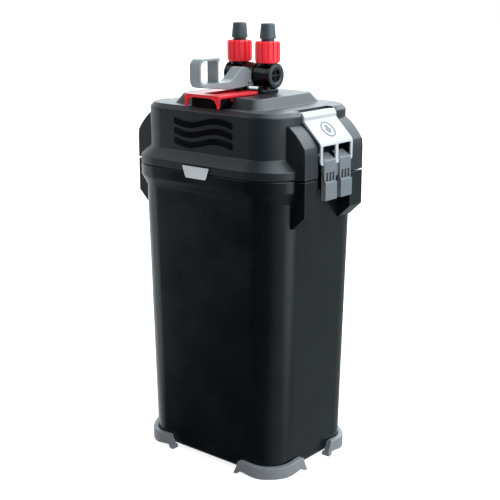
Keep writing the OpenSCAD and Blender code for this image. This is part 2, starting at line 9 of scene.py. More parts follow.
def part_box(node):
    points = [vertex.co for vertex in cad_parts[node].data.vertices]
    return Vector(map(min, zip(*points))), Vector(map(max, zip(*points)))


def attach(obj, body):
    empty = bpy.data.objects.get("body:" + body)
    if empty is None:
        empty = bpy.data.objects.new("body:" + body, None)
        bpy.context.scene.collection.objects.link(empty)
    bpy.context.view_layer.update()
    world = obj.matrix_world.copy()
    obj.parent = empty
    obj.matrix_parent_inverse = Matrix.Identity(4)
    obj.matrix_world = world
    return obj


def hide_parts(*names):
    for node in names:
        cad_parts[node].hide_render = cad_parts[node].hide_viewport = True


# Looks for a tall canister filter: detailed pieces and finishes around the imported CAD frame.
# Sizes are millimetres in the frame's axes (+Z up, front -Y); the meshes are made in metres.

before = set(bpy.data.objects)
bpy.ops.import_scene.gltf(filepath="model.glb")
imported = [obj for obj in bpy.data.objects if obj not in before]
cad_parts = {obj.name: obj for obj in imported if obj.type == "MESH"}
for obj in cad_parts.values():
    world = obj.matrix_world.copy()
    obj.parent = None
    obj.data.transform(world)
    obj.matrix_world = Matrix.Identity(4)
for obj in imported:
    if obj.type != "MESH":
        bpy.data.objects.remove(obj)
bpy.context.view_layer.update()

MM = 0.001
CORNER_STEPS = 14


# ------------------------------------------------------------------ mesh tools

def box_mm(node):
    """Lowest and highest corner of a CAD node, in millimetres."""
    low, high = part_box(node)
    return low / MM, high / MM


def new_piece(name, points, faces):
    mesh = bpy.data.meshes.new(name)
    mesh.from_pydata([[c * MM for c in p] for p in points], [], faces)
    work = bmesh.new()
    work.from_mesh(mesh)
    bmesh.ops.remove_doubles(work, verts=work.verts, dist=1e-7)
    bmesh.ops.recalc_face_normals(work, faces=work.faces)
    work.to_mesh(mesh)
    work.free()
    piece = bpy.data.objects.new(name, mesh)
    bpy.context.scene.collection.objects.link(piece)
    return piece


def skin(name, rings, closed=False):
    """Piece through rings of equally many points: capped at both ends, or closed on itself."""
    count = len(rings[0])
    points = [p for ring in rings for p in ring]
    faces = []
    for i in range(len(rings) if closed else len(rings) - 1):
        a = i * count
        b = (i + 1) % len(rings) * count
        faces += [(a + j, a + (j + 1) % count, b + (j + 1) % count, b + j) for j in range(count)]
    if not closed:
        faces += [tuple(range(count)), tuple(range(len(points) - count, len(points)))]
    return new_piece(name, points, faces)


def softened(path, reach, steps=3, closed=False):
    """Path whose corners are swapped for short curves that start `reach` before them."""
    corners = [np.array(p, float) for p in path]
    points = []
    for i, corner in enumerate(corners):
        if not closed and i in (0, len(corners) - 1):
            points.append(corner)
            continue
        ends = []
        for other in (corners[i - 1], corners[(i + 1) % len(corners)]):
            ends.append(corner + (other - corner) * min(reach / np.linalg.norm(other - corner), 0.48))
        for u in np.linspace(0, 1, steps + 1):
            points.append(ends[0] * (1 - u) ** 2 + corner * 2 * u * (1 - u) + ends[1] * u ** 2)
    return points


def arc(cx, cy, radius, start, end, steps=8):
    angles = np.radians(np.linspace(start, end, steps + 1))
    return [(cx + radius * math.cos(a), cy + radius * math.sin(a)) for a in angles]


def rounded(hx, hy, radius, cx=0, cy=0, steps=CORNER_STEPS):
    """Rounded rectangle, counter-clockwise."""
    points = []
    for corner in range(4):
        sx = 1 if corner in (0, 3) else -1
        sy = 1 if corner < 2 else -1
        centre = (cx + sx * (hx - radius), cy + sy * (hy - radius))
        points += arc(*centre, radius, 90 * corner, 90 * corner + 90, steps)
    return points


def inset(outline, distance):
    """Closed outline moved inwards."""
    p = np.array(outline, float)
    before = p - np.roll(p, 1, axis=0)
    after = np.roll(p, -1, axis=0) - p
    area = np.sum(p[:, 0] * np.roll(p[:, 1], -1) - np.roll(p[:, 0], -1) * p[:, 1])

    def inward(edge):
        turned = math.copysign(1, area) * np.column_stack((-edge[:, 1], edge[:, 0]))
        return turned / np.linalg.norm(edge, axis=1, keepdims=True)

    a, b = inward(before), inward(after)
    mitre = (a + b) / (1 + np.sum(a * b, axis=1, keepdims=True))
    return p + mitre * distance


def placed(outline, axis, at):
    """Outline points set at a value on an axis; the other two axes keep their order."""
    order = {"X": lambda u, v: (at, u, v), "Y": lambda u, v: (u, at, v), "Z": lambda u, v: (u, v, at)}
    return [order[axis](u, v) for u, v in outline]


def prism(name, outline, axis, low, high, soft=0.6, steps=3):
    """Outline extruded along an axis, with the edges of both ends rounded by `soft`."""
    rings = []
    for a in np.linspace(0, math.pi / 2, steps + 1):
        edge = inset(outline, soft * (1 - math.sin(a)))
        rings.append(placed(edge, axis, low + soft * (1 - math.cos(a))))
    for a in np.linspace(math.pi / 2, 0, steps + 1):
        edge = inset(outline, soft * (1 - math.sin(a)))
        rings.append(placed(edge, axis, high - soft * (1 - math.cos(a))))
    return skin(name, rings)


def loft(name, sections):
    """Piece through stacked rounded rectangles, each z, half x, half y, radius."""
    return skin(name, [placed(rounded(hx, hy, r), "Z", z) for z, hx, hy, r in sections])


def revolve(name, profile, axis, centre, steps=64, shape=None):
    """Closed profile of radius and height turned about an axis; shape(angle, r, h) may vary the radius."""
    rings = []
    for angle in np.linspace(0, 2 * math.pi, steps, endpoint=False):
        ring = []
        for r, h in profile:
            reach = shape(angle, r, h) if shape else r
            spot = (centre[0] + reach * math.cos(angle), centre[1] + reach * math.sin(angle))
            ring += placed([spot], axis, h)
        rings.append(ring)
    return skin(name, rings, closed=True)


def baked(piece):
    """Turns a piece's modifiers into plain mesh."""
    graph = bpy.context.evaluated_depsgraph_get()
    mesh = bpy.data.meshes.new_from_object(piece.evaluated_get(graph))
    piece.modifiers.clear()
    piece.data = mesh
    return piece


def combine(piece, other, operation):
    """DIFFERENCE, UNION or INTERSECT with another piece, which is used up."""
    modifier = piece.modifiers.new("combine", "BOOLEAN")
    modifier.operation = operation
    modifier.solver = "EXACT"
    modifier.object = other
    baked(piece)
    bpy.data.objects.remove(other)
    return piece


def cut(piece, *others):
    for other in others:
        combine(piece, other, "DIFFERENCE")
    return piece


def rounded_edges(piece, width, angle):
    modifier = piece.modifiers.new("edges", "BEVEL")
    modifier.width = width * MM
    modifier.segments = 2
    modifier.limit_method = "ANGLE"
    modifier.angle_limit = math.radians(angle)
    modifier.use_clamp_overlap = False
    return baked(piece)


def settle(piece, body, slot, stands_for=(), sharp=40):
    """Shades a piece, gives it its slot's finish and hangs it on its CAD body."""
    piece.data.polygons.foreach_set("use_smooth", [True] * len(piece.data.polygons))
    piece.data.set_sharp_from_angle(angle=math.radians(sharp))
    piece.data.materials.clear()
    piece.data.materials.append(finishes[slot])
    weighted = piece.modifiers.new("weighted", "WEIGHTED_NORMAL")
    weighted.keep_sharp = True
    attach(piece, body)
    if stands_for:
        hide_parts(*stands_for)
    return piece


# ------------------------------------------------------------------ finishes

def blank(name):
    material = bpy.data.materials.new(name)
    material.use_nodes = True
    tree = material.node_tree
    return material, tree, tree.nodes["Principled BSDF"]


def add(tree, kind, inputs=(), **settings):
    node = tree.nodes.new(kind)
    for key, value in settings.items():
        setattr(node, key, value)
    for key, value in dict(inputs).items():
        if isinstance(value, bpy.types.NodeSocket):
            tree.links.new(value, node.inputs[key])
        else:
            node.inputs[key].default_value = value
    return node


def speckle(tree, scale, detail=2.0, stretch=(1, 1, 1)):
    """Noise of so many cells to a metre, from 0 to 1."""
    place = add(tree, "ShaderNodeTexCoord")
    stretched = add(tree, "ShaderNodeMapping", {"Vector": place.outputs["Object"], "Scale": stretch})
    grain = add(tree, "ShaderNodeTexNoise", {
        "Vector": stretched.outputs["Vector"], "Scale": scale, "Detail": detail})
    return grain.outputs["Fac"]


def ranged(tree, value, low, high, start=0.3, stop=0.7):
    node = add(tree, "ShaderNodeMapRange", {
        "Value": value, "From Min": start, "From Max": stop, "To Min": low, "To Max": high})
    return node.outputs["Result"]


def blended(tree, factor, first, second):
    node = add(tree, "ShaderNodeMix", data_type="RGBA")
    for socket, value in ((0, factor), (6, first), (7, second)):
        if isinstance(value, bpy.types.NodeSocket):
            tree.links.new(value, node.inputs[socket])
        else:
            node.inputs[socket].default_value = value if socket == 0 else (*value, 1)
    return node.outputs[2]


def bumped(tree, height, strength, distance):
    node = add(tree, "ShaderNodeBump", {"Height": height, "Strength": strength, "Distance": distance})
    return node.outputs["Normal"]


def worn_and_highlit_edges(tree):
    """0 on faces, rising to 1 on outside and inside edges, where edge wear and painted highlight go."""
    bevel = add(tree, "ShaderNodeBevel", {"Radius": 0.7 * MM}, samples=4)
    surface = add(tree, "ShaderNodeNewGeometry")
    match = add(tree, "ShaderNodeVectorMath", {
        0: bevel.outputs["Normal"], 1: surface.outputs["Normal"]}, operation="DOT_PRODUCT")
    return ranged(tree, match.outputs["Value"], 1, 0, 0.9, 0.995)


def scaled(colour, factor):
    return tuple(min(1, c * factor) for c in colour)


def moulded(name, colour, rough=0.42, grain=0.12, specular=0.45, wear_and_highlight=1.5, coat=0.0):
    """Moulded plastic: spark-eroded grain, patchy sheen, and edges painted paler as wear and as painted
    highlight.
    """
    material, tree, shader = blank(name)
    patches = speckle(tree, 22, 3)
    fine = speckle(tree, 1400, 2)
    tone = blended(tree, patches, scaled(colour, 0.88), scaled(colour, 1.12))
    edge = worn_and_highlit_edges(tree)
    # edges painted paler: partly edge wear, partly painted highlight along the edges
    tone = blended(tree, edge, tone, scaled(colour, wear_and_highlight))
    tree.links.new(tone, shader.inputs["Base Color"])
    tree.links.new(ranged(tree, patches, rough - 0.05, rough + 0.06), shader.inputs["Roughness"])
    tree.links.new(bumped(tree, fine, grain, 0.0003), shader.inputs["Normal"])
    shader.inputs["Specular IOR Level"].default_value = specular
    shader.inputs["Coat Weight"].default_value = coat
    shader.inputs["Coat Roughness"].default_value = 0.08
    return material


def rubber(name, colour):
    """Matt rubber with a stippled skin and dusty patches."""
    material, tree, shader = blank(name)
    patches = speckle(tree, 35, 4)
    stipple = speckle(tree, 1700, 1)
    tone = blended(tree, ranged(tree, patches, 0, 1), scaled(colour, 0.85), scaled(colour, 1.15))
    tree.links.new(tone, shader.inputs["Base Color"])
    tree.links.new(ranged(tree, patches, 0.62, 0.8), shader.inputs["Roughness"])
    tree.links.new(bumped(tree, stipple, 0.35, 0.0003), shader.inputs["Normal"])
    shader.inputs["Specular IOR Level"].default_value = 0.3
    return material


def foam(name, colour):
    """Open-cell foam: deep pores with pale struts, and painted shade darkening the pores."""
    material, tree, shader = blank(name)
    place = add(tree, "ShaderNodeTexCoord")
    cells = add(tree, "ShaderNodeTexVoronoi", {"Vector": place.outputs["Object"], "Scale": 420.0})
    depth = cells.outputs["Distance"]
    # pores painted darker than the struts: painted shade in the holes
    tone = blended(tree, ranged(tree, depth, 0, 1, 0.1, 0.6), scaled(colour, 1.4), scaled(colour, 0.3))
    tree.links.new(tone, shader.inputs["Base Color"])
    tree.links.new(ranged(tree, depth, 0.8, 1.0), shader.inputs["Roughness"])
    tree.links.new(bumped(tree, depth, 0.9, -0.0015), shader.inputs["Normal"])
    return material


def metal(name, colour, rough=0.32, stretch=(40, 1, 1)):
    """Bare metal with drawn scratches and a few dull stains."""
    material, tree, shader = blank(name)
    scratches = speckle(tree, 90, 4, stretch)
    stains = speckle(tree, 60, 3)
    tone = blended(tree, ranged(tree, stains, 0, 1, 0.4, 0.75), colour, scaled(colour, 0.7))
    tree.links.new(tone, shader.inputs["Base Color"])
    tree.links.new(ranged(tree, scratches, rough - 0.1, rough + 0.14), shader.inputs["Roughness"])
    tree.links.new(bumped(tree, scratches, 0.15, 0.0002), shader.inputs["Normal"])
    shader.inputs["Metallic"].default_value = 1
    return material


def wound(name, colour):
    """Enamelled wire wound side by side, with painted shade in the grooves between turns."""
    material, tree, shader = blank(name)
    place = add(tree, "ShaderNodeTexCoord")
    turns = add(tree, "ShaderNodeTexWave", {
        "Vector": place.outputs["Object"], "Scale": 620.0, "Distortion": 0.6}, bands_direction="Y")
    shade = turns.outputs["Fac"]
    # darker between the turns: painted shade in the grooves
    tree.links.new(blended(tree, shade, scaled(colour, 0.35), colour), shader.inputs["Base Color"])
    tree.links.new(ranged(tree, shade, 0.5, 0.25, 0, 1), shader.inputs["Roughness"])
    tree.links.new(bumped(tree, shade, 0.8, 0.0004), shader.inputs["Normal"])
    shader.inputs["Metallic"].default_value = 0.8
    return material


def woven(name, colour):
    """Net bag: threads crossing over dark grains."""
    material, tree, shader = blank(name)
    place = add(tree, "ShaderNodeTexCoord")
    threads = []
    for direction in "XY":
        wave = add(tree, "ShaderNodeTexWave", {
            "Vector": place.outputs["Object"], "Scale": 300.0, "Distortion": 0.3},
            bands_direction=direction)
        threads.append(wave.outputs["Fac"])
    net = add(tree, "ShaderNodeMath", {0: threads[0], 1: threads[1]}, operation="MAXIMUM").outputs[0]
    tone = blended(tree, ranged(tree, net, 0, 1, 0.5, 0.95), scaled(colour, 0.3), scaled(colour, 2.2))
    tree.links.new(tone, shader.inputs["Base Color"])
    tree.links.new(ranged(tree, net, 0.95, 0.7, 0, 1), shader.inputs["Roughness"])
    tree.links.new(bumped(tree, net, 0.8, 0.0006), shader.inputs["Normal"])
    shader.inputs["Sheen Weight"].default_value = 0.2
    return material


def fired(name, colour):
    """Unglazed ceramic, chalky and pitted, with painted shade darkening the pits."""
    material, tree, shader = blank(name)
    pits = speckle(tree, 900, 5)
    # darker in the pits: painted shade
    tone = blended(tree, ranged(tree, pits, 0, 1), scaled(colour, 0.72), colour)
    tree.links.new(tone, shader.inputs["Base Color"])
    tree.links.new(ranged(tree, pits, 0.95, 0.8), shader.inputs["Roughness"])
    tree.links.new(bumped(tree, pits, 0.6, 0.0006), shader.inputs["Normal"])
    return material


CHARCOAL = (0.0022, 0.0033, 0.0042)
HEAD_CHARCOAL = (0.0065, 0.0092, 0.0118)
BLACK = (0.0022, 0.0024, 0.0028)


def make_finishes():
    """One finish for each material slot of the record."""
    # The edge factor paints edges paler: a little edge wear, and painted highlight where it is large.
    return {
        "canister_plastic": moulded("canister_plastic", CHARCOAL, 0.25, 0.04, specular=0.42, wear_and_highlight=3.0),
        "head_plastic": moulded("head_plastic", HEAD_CHARCOAL, 0.38, 0.08, specular=0.5, wear_and_highlight=2.8),
        "foot_rubber": moulded("foot_rubber", (0.115, 0.121, 0.13), 0.44, 0.10, specular=0.5, wear_and_highlight=2.0),
        "basket_plastic": moulded("basket_plastic", (0.02, 0.02, 0.022), 0.5),
        "handle_red": moulded("handle_red", (0.50, 0.004, 0.012), 0.32, 0.06, specular=0.4, wear_and_highlight=1.15),
        "foam_blue": foam("foam_blue", (0.06, 0.12, 0.24)),
        "foam_dark": foam("foam_dark", (0.04, 0.06, 0.09)),
        "ceramic": fired("ceramic", (0.82, 0.78, 0.7)),
        "carbon_fabric": woven("carbon_fabric", (0.05, 0.05, 0.055)),
        "deck_plastic": moulded("deck_plastic", (0.015, 0.015, 0.017), 0.38),
        "seal_rubber": rubber("seal_rubber", (0.012, 0.012, 0.013)),
        "screw_steel": metal("screw_steel", (0.62, 0.62, 0.64)),
        "case_resin": moulded("case_resin", (0.05, 0.053, 0.058), 0.25, coat=0.5),
        "core_steel": metal("core_steel", (0.38, 0.38, 0.4), 0.45, (1, 1, 60)),
        "coil_copper": wound("coil_copper", (0.75, 0.33, 0.14)),
        "magnet": metal("magnet", (0.14, 0.14, 0.15), 0.5),
        "impeller_plastic": moulded("impeller_plastic", (0.5, 0.02, 0.025), 0.4),
        "gland_rubber": rubber("gland_rubber", (0.02, 0.02, 0.022)),
        "badge_silver": moulded("badge_silver", (0.40, 0.41, 0.42), 0.3, 0.05,
                                specular=0.6, wear_and_highlight=1.3, coat=0.3),
        "trim_gloss": moulded("trim_gloss", (0.0012, 0.0012, 0.0015), 0.24, 0.02, specular=0.16, wear_and_highlight=2.0),
        "latch_silver": moulded("latch_silver", (0.33, 0.335, 0.34), 0.38, 0.10, specular=0.45, wear_and_highlight=1.3),
        "tab_grey": moulded("tab_grey", (0.095, 0.105, 0.116), 0.42, 0.12, wear_and_highlight=1.9),
        "valve_gloss": moulded("valve_gloss", BLACK, 0.22, 0.03, specular=0.35, wear_and_highlight=3.0),
        "drum_black": moulded("drum_black", BLACK, 0.25, 0.03, specular=0.4, wear_and_highlight=6.0),
        "cap_grey": moulded("cap_grey", (0.022, 0.026, 0.030), 0.34, 0.06, specular=0.4, wear_and_highlight=2.4),
        "lever_grey": moulded("lever_grey", (0.175, 0.19, 0.20), 0.36, 0.10, wear_and_highlight=1.3),
        "nut_red": moulded("nut_red", (0.80, 0.022, 0.036), 0.36, 0.08, specular=0.45, wear_and_highlight=1.1),
        "connector_grey": moulded("connector_grey", (0.040, 0.053, 0.060), 0.34, 0.08, wear_and_highlight=1.8),
    }


finishes = make_finishes()


def hand(side):
    return "right" if side > 0 else "left"


def end_name(flank):
    return "rear" if flank > 0 else "front"


def port(side):
    return "outlet" if side > 0 else "inlet"


def mirrored(outline, side):
    """Outline whose first coordinate is turned to the given side."""
    return [(side * u, v) for u, v in outline]


# ------------------------------------------------------------------ canister and feet

WALL = 3
CANISTER_LOW, CANISTER_TOP = box_mm("canister")
FLOOR_Z = CANISTER_LOW.z
CHEEK_X = CANISTER_TOP.x                      # outer face of the latch housings
COLLAR_Y = CANISTER_TOP.y
RIM_Z = CANISTER_TOP.z
COLLAR_X = 107.5
COLLAR_R = 45.6
BASE_X, BASE_Y, BASE_R = 94.8, 71.8, 35
TOP_X, TOP_Y, TOP_R = 102.2, 74.1, 36         # plain wall just under the ridge
RIDGE_Z = 304
COLLAR_Z = 315.3
GROOVE = 0.4                                  # the shadow groove's height in each half
GROOVE_IN = 1.3                               # and its depth
CHEEK_Y = 51                                  # how far a cheek reaches along the side
LATCH_Y = box_mm("latch_right")[1].y          # half width of a latch
CHEEK_IN_Y = LATCH_Y + 0.4


def make_canister():
    """Outer skin up to the rim and inner skin down again as one closed solid, with its cheeks."""
    outside = softened([
        (FLOOR_Z, BASE_X - 3, BASE_Y - 3, BASE_R - 3),
        (FLOOR_Z + 3, BASE_X, BASE_Y, BASE_R)], 1)
    outside += softened([
        (FLOOR_Z + 6, BASE_X + 0.1, BASE_Y, BASE_R),
        (RIDGE_Z, TOP_X, TOP_Y, TOP_R),
        (RIDGE_Z + 0.8, TOP_X + 1.2, TOP_Y + 1.2, TOP_R + 1),
        (RIDGE_Z + 2.4, TOP_X + 1.4, TOP_Y + 1.4, TOP_R + 1),
        (COLLAR_Z, COLLAR_X, COLLAR_Y, COLLAR_R),
        (RIM_Z - GROOVE, COLLAR_X, COLLAR_Y, COLLAR_R),
        (RIM_Z - GROOVE, COLLAR_X - GROOVE_IN, COLLAR_Y - GROOVE_IN, COLLAR_R - GROOVE_IN),
        (RIM_Z, COLLAR_X - GROOVE_IN, COLLAR_Y - GROOVE_IN, COLLAR_R - GROOVE_IN),
        (RIM_Z, COLLAR_X - WALL, COLLAR_Y - WALL, COLLAR_R - WALL),
        (COLLAR_Z + 1.5, COLLAR_X - WALL, COLLAR_Y - WALL, COLLAR_R - WALL),
        (RIDGE_Z - 1, TOP_X - WALL, TOP_Y - WALL, TOP_R - WALL),
        (FLOOR_Z + 6.5, BASE_X - WALL, BASE_Y - WALL, BASE_R - WALL),
        (FLOOR_Z + 3.5, BASE_X - WALL - 3, BASE_Y - WALL - 3, BASE_R - WALL - 3)], 0.8)
    settle(loft("canister_shell", outside), "canister", "canister_plastic", ["canister"], sharp=60)
    for side in (1, -1):
        for flank in (1, -1):
            make_lower_cheek(side, flank)


def cheek(name, outline, side, flank):
    """Half housing beside a latch, from its outline in X and Z."""
    ends = sorted((flank * CHEEK_IN_Y, flank * CHEEK_Y))
    return prism(name, mirrored(outline, side), "Y", *ends, soft=1.2, steps=4)


def make_lower_cheek(side, flank):
    outline = softened([
        (96, 277), (102.5, 277), (CHEEK_X, 291), (CHEEK_X, RIM_Z - GROOVE), (96, RIM_Z - GROOVE)],
        0.7, 4, closed=True)
    piece = cheek(f"lower_cheek_{hand(side)}_{end_name(flank)}", outline, side, flank)
    settle(piece, "canister", "canister_plastic")


FOOT_LOW, FOOT_HIGH = box_mm("foot_front_right")
FOOT_CORNER = 42
FOOT_SLOPE = math.tan(math.radians(19))
HEEL = 4.6                                    # length of the claw at each end
ARCH = 3.4                                    # rise of the underside behind it


def smooth(t):
    t = min(1, max(0, t))
    return t * t * (3 - 2 * t)


def foot_line(distance):
    """Point and outward direction on the foot's outer line in the quarter where X and Y are positive."""
    reach_x, reach_y = FOOT_HIGH.x, -FOOT_LOW.y
    run = reach_x - FOOT_CORNER - FOOT_LOW.x
    turn = (distance - run) / FOOT_CORNER
    if turn < 0:
        return (FOOT_LOW.x + distance, reach_y), (0, 1)
    if turn > math.pi / 2:
        return (reach_x, reach_y - FOOT_CORNER - (turn - math.pi / 2) * FOOT_CORNER), (1, 0)
    out = (math.sin(turn), math.cos(turn))
    centre = (reach_x - FOOT_CORNER, reach_y - FOOT_CORNER)
    return (centre[0] + FOOT_CORNER * out[0], centre[1] + FOOT_CORNER * out[1]), out


def foot_length():
    straight = FOOT_HIGH.x - FOOT_LOW.x - FOOT_LOW.y + FOOT_HIGH.y - 2 * FOOT_CORNER
    return straight + FOOT_CORNER * math.pi / 2


def foot_section(distance, length):
    """Outline of the band across the line, as outward offset and height."""
    end = min(distance, length - distance)
    low = ARCH * smooth((end - HEEL) / 1.8) * (1 - smooth((end - HEEL - 4) / 26))
    flare = 1.3 * (1 - smooth((end - HEEL) / 2.5))
    pad = 1.5 + 16 * smooth((end - 30) / 10)
    thick = 5.2 + abs(foot_line(distance)[1][0])
    top = FOOT_HIGH.z - 2.6 * smooth((end - 6) / 34)
    edge = 1.4
    return [(flare, low), (flare * 0.4, low + 3.2), (0, low + 5), (0, top - edge), (-0.4, top - 0.4),
            (-edge, top), (-thick + 0.8, top), (-thick, top - 0.8), (-thick - 0.4, 4.1),
            (-thick - 1 - pad, 3.9), (-thick - 1 - pad, low + 0.05), (-thick, low)]


def make_foot(side, flank):
    name = f"foot_{end_name(flank)}_{hand(side)}"
    length = foot_length()
    rings = []
    for distance in np.linspace(0, length, 90):
        ring = []
        for offset, z in foot_section(distance, length):
            lean = z * FOOT_SLOPE * (1 - 2 * distance / length)
            corner_cut = max(0, z - FOOT_HIGH.z + 3) * (1 if lean > 0 else -1) * (abs(lean) / 6) ** 4
            (x, y), out = foot_line(min(length, max(0, distance + lean + corner_cut)))
            ring.append((side * (x + out[0] * offset), flank * (y + out[1] * offset), z))
        rings.append(ring)
    settle(skin(name + "_bumper", rings), "canister", "foot_rubber", [name], sharp=32)


# ------------------------------------------------------------------ motor head

HEAD_LOW, HEAD_HIGH = box_mm("head_cover")
LID_Z, PLATEAU_Z = HEAD_LOW.z, HEAD_HIGH.z
HEAD_X, HEAD_Y, HEAD_R = 96.5, 72.4, 36
TOP_Z = PLATEAU_Z - 10.5                      # flat top round the plateau
HINGE_X = 92.6
HINGE_Z = 389.2
SLOT_X = 24.9                                 # half width of the well for the priming handle
SLOT_REAR_Y = -9
SLOT_FLOOR_Z = 397
PORT_X = 19.6
VALVE_Y = 10.6
ROD_Y = (box_mm("primer_rod")[0].y + box_mm("primer_rod")[1].y) / 2
GLAND_SPOT = (44, 364)                        # X and Z of the cord gland's middle


def head_shell():
    """Outer skin and inner skin as one closed solid, from the inner ceiling out over the rim."""
    inside = [
        (PLATEAU_Z - WALL, 51.5, 47, 10),
        (TOP_Z - WALL, 56, 53, 12),
        (TOP_Z - WALL, HEAD_X - 6, HEAD_Y - 6, HEAD_R - 6),
        (TOP_Z - 6, HEAD_X - WALL, HEAD_Y - WALL, HEAD_R - WALL),
        (346.3, HEAD_X - WALL, HEAD_Y - WALL, HEAD_R - WALL),
        (336, COLLAR_X - WALL, COLLAR_Y - WALL, COLLAR_R - WALL),
        (LID_Z, COLLAR_X - WALL, COLLAR_Y - WALL, COLLAR_R - WALL)]
    rim = [
        (LID_Z, COLLAR_X - GROOVE_IN, COLLAR_Y - GROOVE_IN, COLLAR_R - GROOVE_IN),
        (LID_Z + GROOVE, COLLAR_X - GROOVE_IN, COLLAR_Y - GROOVE_IN, COLLAR_R - GROOVE_IN),
        (LID_Z + GROOVE, COLLAR_X, COLLAR_Y, COLLAR_R),
        (337, COLLAR_X, COLLAR_Y, COLLAR_R)]
    outside = [
        (347.5, HEAD_X, HEAD_Y, HEAD_R),
        (TOP_Z - 4.5, HEAD_X, HEAD_Y, HEAD_R),
        (TOP_Z, HEAD_X - 4.6, HEAD_Y - 4.6, HEAD_R - 4.5),
        (TOP_Z, 60.6, 57.4, 14.5),
        (PLATEAU_Z - 0.8, 54.4, 50, 12),
        (PLATEAU_Z, 53.6, 49.2, 11.4)]
    return loft("head_shell", softened(inside + rim + outside, 1.1, 4))


def plain_block(low, high):
    """Plain box used to cut or join."""
    corners = [(low[0], low[1]), (high[0], low[1]), (high[0], high[1]), (low[0], high[1])]
    return skin("block", [placed(corners, "Z", low[2]), placed(corners, "Z", high[2])])


def plain_bar(axis, radius, low, high, centre, steps=48):
    """Plain round bar used to cut or join."""
    circle = arc(*centre, radius, 0, 360 - 360 / steps, steps - 1)
    return skin("bar", [placed(circle, axis, low), placed(circle, axis, high)])


def latch_notch(side):
    """Room for a latch's knuckle: round under the pin and open outwards."""
    outline = [(84.6, 410), (84.6, HINGE_Z - 1)]
    outline += arc(HINGE_X, HINGE_Z, 5.35, 205, 270, 8)
    outline += [(HINGE_X, 379.5), (HINGE_X + 20, 379.5), (HINGE_X + 20, 410)]
    return prism("notch", mirrored(outline, side), "Y", -CHEEK_IN_Y, CHEEK_IN_Y, soft=0.01)


def make_head():
    shell = head_shell()
    combine(shell, plain_block((-SLOT_X - 2, -50.5, SLOT_FLOOR_Z - 3), (SLOT_X + 2, SLOT_REAR_Y + 2, 403)),
            "UNION")
    for side in (1, -1):
        rib = sorted((side * 82, side * 94))
        combine(shell, plain_block((rib[0], -33, 377), (rib[1], 33, TOP_Z - 2)), "UNION")
        cut(shell, latch_notch(side))
        cut(shell, plain_bar("Z", 8.6, PLATEAU_Z - 8, PLATEAU_Z + 3, (side * PORT_X, VALVE_Y)))
    cut(shell,
        plain_block((-SLOT_X, -60, SLOT_FLOOR_Z), (SLOT_X, SLOT_REAR_Y, PLATEAU_Z + 5)),
        plain_block((-SLOT_X, -70, TOP_Z + 0.02), (SLOT_X, -50, PLATEAU_Z + 5)),
        plain_bar("Z", 4.1, SLOT_FLOOR_Z - 6, SLOT_FLOOR_Z + 2, (0, ROD_Y)),
        plain_bar("Y", 8.1, 60, 80, GLAND_SPOT))
    rounded_edges(shell, 0.45, 55)
    settle(shell, "head", "head_plastic", ["head_cover"], sharp=50)
    for side in (1, -1):
        for flank in (1, -1):
            make_upper_cheek(side, flank)


def make_handle_well_shade():
    """Gloss black lining of the priming handle's well, and the apron and nose in front of it: dark sheets
    that paint the shade under the handle.
    """
    half = SLOT_X - 0.05
    inner = half - 0.5
    top, base, floor = 404.2, SLOT_FLOOR_Z + 0.05, SLOT_FLOOR_Z + 0.6
    u_shape = [(-half, top), (-half, base), (half, base), (half, top),
               (inner, top), (inner, floor), (-inner, floor), (-inner, top)]
    shade_lining = prism("handle_well_shade_lining", u_shape, "Y", -50.5, SLOT_REAR_Y - 0.05, soft=0.1)
    cut(shade_lining, plain_bar("Z", 4.1, SLOT_FLOOR_Z - 1, SLOT_FLOOR_Z + 2, (0, ROD_Y)))
    settle(shade_lining, "head", "trim_gloss")
    back = prism("handle_well_shade_back", rounded(half - 0.6, 3.3, 0.5, 0, SLOT_FLOOR_Z + 4, 3), "Y",
                 SLOT_REAR_Y - 0.6, SLOT_REAR_Y - 0.05, soft=0.1)
    settle(back, "head", "trim_gloss")
    shade_apron = prism("handle_well_shade_apron", rounded(24.7, 9, 1.5, 0, -59.2, 4), "Z",
                  TOP_Z - 0.5, TOP_Z + 0.25, soft=0.2)
    settle(shade_apron, "head", "trim_gloss")
    shade_nose = prism("handle_well_shade_nose", rounded(19.8, 5, 1.5, 0, 399.4, 4), "Y", -67.4, -50.2, soft=0.8)
    settle(shade_nose, "head", "trim_gloss")


def make_upper_cheek(side, flank):
    slope = arc(53.1, 320.3, 75.1, 32, 55, 14)
    base = LID_Z + GROOVE
    outline = softened([(90, base), (CHEEK_X, base), (CHEEK_X, base + 24)], 0.7, 4)
    outline = outline + slope + [(90, 381.8)]
    piece = cheek(f"upper_cheek_{hand(side)}_{end_name(flank)}", outline, side, flank)
    settle(piece, "head", "head_plastic")


def make_badge():
    """Blank silver name plate in a thin dark surround."""
    low, high = box_mm("badge_plate")
    face = low.y
    shape = [(-18.3, high.z), (-13.5, low.z), (13.5, low.z), (18.3, high.z)]
    wide = [(-19.6, high.z + 0.9), (-14.2, low.z - 0.9), (14.2, low.z - 0.9), (19.6, high.z + 0.9)]
    plate = prism("badge_face", softened(shape, 1.2, 4, closed=True), "Y", face, face + 2, soft=0.5)
    settle(plate, "head", "badge_silver", ["badge_plate"])
    back = prism("badge_surround", softened(wide, 1.2, 4, closed=True), "Y",
                 -COLLAR_Y - 0.5, -COLLAR_Y + 0.5, soft=0.3)
    keep = plain_block((-30, -100, LID_Z + 0.3), (30, 0, 400))
    settle(combine(back, keep, "INTERSECT"), "head", "trim_gloss")


